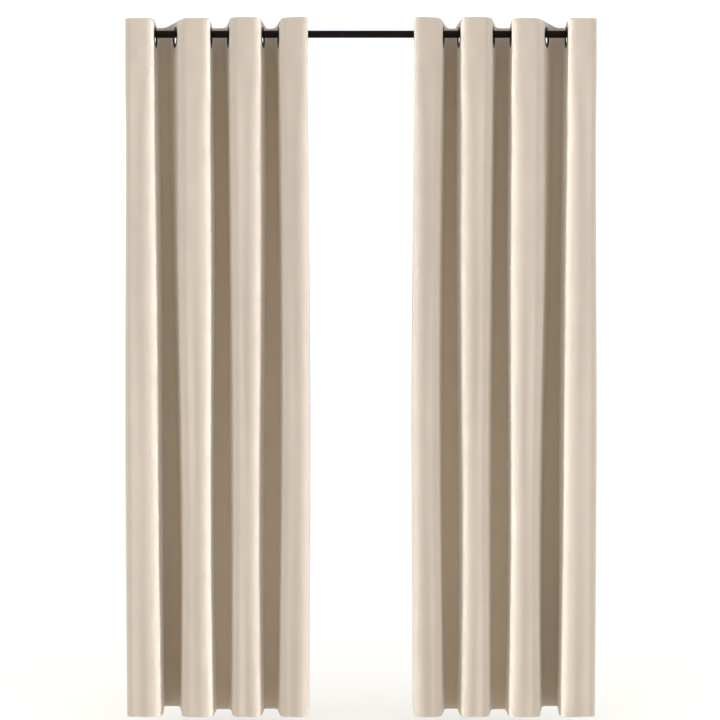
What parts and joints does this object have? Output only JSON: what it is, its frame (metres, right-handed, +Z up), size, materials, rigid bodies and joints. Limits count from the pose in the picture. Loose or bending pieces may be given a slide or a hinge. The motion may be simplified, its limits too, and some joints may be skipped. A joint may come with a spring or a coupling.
{
  "type": "window curtains on a rod",
  "caption": "Grommet-top window curtain panels gathered in deep folds on a telescoping black metal rod that rests in wall brackets.",
  "frame": {"origin": "on the wall plane, midway between the brackets, level with the rod's axis", "axes": "+X to the right along the rod, +Y into the wall, +Z up; the curtains face -Y"},
  "size_m": [1.4466, 0.1411, 2.134],
  "materials": {
    "curtain_cloth": "matte",
    "header_tape": "matte",
    "rod_metal": "satin",
    "grommet_plastic": "satin",
    "bush_plastic": "matte",
    "screw_steel": "satin"
  },
  "bodies": {
    "brackets": {"left_wall_plate": "rod_metal", "left_bracket_arm": "rod_metal", "left_wall_screw_upper": "screw_steel", "left_wall_screw_lower": "screw_steel", "right_wall_plate": "rod_metal", "right_bracket_arm": "rod_metal", "right_wall_screw_upper": "screw_steel", "right_wall_screw_lower": "screw_steel"},
    "rod": {"outer_tube": "rod_metal", "tube_mouth_bush": "bush_plastic", "left_end_cap": "rod_metal", "left_curtain_panel": "curtain_cloth", "left_header_tape": "header_tape", "left_grommet_1_face": "grommet_plastic", "left_grommet_1_back": "grommet_plastic", "right_curtain_panel": "curtain_cloth", "right_header_tape": "header_tape", "right_grommet_1_face": "grommet_plastic", "right_grommet_1_back": "grommet_plastic"},
    "inner_tube": {"inner_tube": "rod_metal", "right_end_cap": "rod_metal"},
    "left_set_screw": {"left_set_screw": "screw_steel"},
    "left_ring_2": {"left_grommet_2_face": "grommet_plastic", "left_grommet_2_back": "grommet_plastic"},
    "left_ring_3": {"left_grommet_3_face": "grommet_plastic", "left_grommet_3_back": "grommet_plastic"},
    "left_ring_4": {"left_grommet_4_face": "grommet_plastic", "left_grommet_4_back": "grommet_plastic"},
    "left_ring_5": {"left_grommet_5_face": "grommet_plastic", "left_grommet_5_back": "grommet_plastic"},
    "left_ring_6": {"left_grommet_6_face": "grommet_plastic", "left_grommet_6_back": "grommet_plastic"},
    "left_ring_7": {"left_grommet_7_face": "grommet_plastic", "left_grommet_7_back": "grommet_plastic"},
    "left_ring_8": {"left_grommet_8_face": "grommet_plastic", "left_grommet_8_back": "grommet_plastic"},
    "right_set_screw": {"right_set_screw": "screw_steel"},
    "right_ring_2": {"right_grommet_2_face": "grommet_plastic", "right_grommet_2_back": "grommet_plastic"},
    "right_ring_3": {"right_grommet_3_face": "grommet_plastic", "right_grommet_3_back": "grommet_plastic"},
    "right_ring_4": {"right_grommet_4_face": "grommet_plastic", "right_grommet_4_back": "grommet_plastic"},
    "right_ring_5": {"right_grommet_5_face": "grommet_plastic", "right_grommet_5_back": "grommet_plastic"},
    "right_ring_6": {"right_grommet_6_face": "grommet_plastic", "right_grommet_6_back": "grommet_plastic"},
    "right_ring_7": {"right_grommet_7_face": "grommet_plastic", "right_grommet_7_back": "grommet_plastic"},
    "right_ring_8": {"right_grommet_8_face": "grommet_plastic", "right_grommet_8_back": "grommet_plastic"}
  },
  "joints": [
    {"name": "rod_lift", "type": "slide", "parent": "brackets", "child": "rod", "axis": [0, 0, 1], "range_m": [0, 0.05]},
    {"name": "rod_extend", "type": "slide", "parent": "rod", "child": "inner_tube", "axis": [1, 0, 0], "range_m": [0, 0.5]},
    {"name": "left_set_screw_turn", "type": "hinge", "parent": "brackets", "child": "left_set_screw", "pos_m": [-0.688, -0.11, 0], "axis": [0, -1, 0], "range_deg": [0, 540]},
    {"name": "left_panel_draw", "type": "slide", "parent": "rod", "child": "left_ring_8", "axis": [1, 0, 0], "range_m": [-0.15, 0.155], "deforming": ["left_curtain_panel", "left_header_tape"]},
    {"name": "left_ring_2_slide", "type": "slide", "parent": "rod", "child": "left_ring_2", "axis": [1, 0, 0], "range_m": [-0.0094, 0.0097]},
    {"name": "left_ring_3_slide", "type": "slide", "parent": "rod", "child": "left_ring_3", "axis": [1, 0, 0], "range_m": [-0.0259, 0.0267]},
    {"name": "left_ring_4_slide", "type": "slide", "parent": "rod", "child": "left_ring_4", "axis": [1, 0, 0], "range_m": [-0.0664, 0.0686]},
    {"name": "left_ring_5_slide", "type": "slide", "parent": "rod", "child": "left_ring_5", "axis": [1, 0, 0], "range_m": [-0.0889, 0.0918]},
    {"name": "left_ring_6_slide", "type": "slide", "parent": "rod", "child": "left_ring_6", "axis": [1, 0, 0], "range_m": [-0.1273, 0.1315]},
    {"name": "left_ring_7_slide", "type": "slide", "parent": "rod", "child": "left_ring_7", "axis": [1, 0, 0], "range_m": [-0.1407, 0.1453]},
    {"name": "right_set_screw_turn", "type": "hinge", "parent": "brackets", "child": "right_set_screw", "pos_m": [0.688, -0.11, 0], "axis": [0, -1, 0], "range_deg": [0, 540]},
    {"name": "right_panel_draw", "type": "slide", "parent": "rod", "child": "right_ring_8", "axis": [-1, 0, 0], "range_m": [-0.15, 0.155], "deforming": ["right_curtain_panel", "right_header_tape"]},
    {"name": "right_ring_2_slide", "type": "slide", "parent": "rod", "child": "right_ring_2", "axis": [-1, 0, 0], "range_m": [-0.0094, 0.0097]},
    {"name": "right_ring_3_slide", "type": "slide", "parent": "rod", "child": "right_ring_3", "axis": [-1, 0, 0], "range_m": [-0.0259, 0.0267]},
    {"name": "right_ring_4_slide", "type": "slide", "parent": "rod", "child": "right_ring_4", "axis": [-1, 0, 0], "range_m": [-0.0664, 0.0686]},
    {"name": "right_ring_5_slide", "type": "slide", "parent": "rod", "child": "right_ring_5", "axis": [-1, 0, 0], "range_m": [-0.0889, 0.0918]},
    {"name": "right_ring_6_slide", "type": "slide", "parent": "rod", "child": "right_ring_6", "axis": [-1, 0, 0], "range_m": [-0.1273, 0.1315]},
    {"name": "right_ring_7_slide", "type": "slide", "parent": "rod", "child": "right_ring_7", "axis": [-1, 0, 0], "range_m": [-0.1407, 0.1453]}
  ],
  "couplings": [
    {"joint": "left_ring_2_slide", "follows": "left_panel_draw", "ratio": 0.0562},
    {"joint": "left_ring_3_slide", "follows": "left_panel_draw", "ratio": 0.1661},
    {"joint": "left_ring_4_slide", "follows": "left_panel_draw", "ratio": 0.4359},
    {"joint": "left_ring_5_slide", "follows": "left_panel_draw", "ratio": 0.5857},
    {"joint": "left_ring_6_slide", "follows": "left_panel_draw", "ratio": 0.8422},
    {"joint": "left_ring_7_slide", "follows": "left_panel_draw", "ratio": 0.9312},
    {"joint": "right_ring_2_slide", "follows": "right_panel_draw", "ratio": 0.0562},
    {"joint": "right_ring_3_slide", "follows": "right_panel_draw", "ratio": 0.1661},
    {"joint": "right_ring_4_slide", "follows": "right_panel_draw", "ratio": 0.4359},
    {"joint": "right_ring_5_slide", "follows": "right_panel_draw", "ratio": 0.5857},
    {"joint": "right_ring_6_slide", "follows": "right_panel_draw", "ratio": 0.8422},
    {"joint": "right_ring_7_slide", "follows": "right_panel_draw", "ratio": 0.9312}
  ]
}
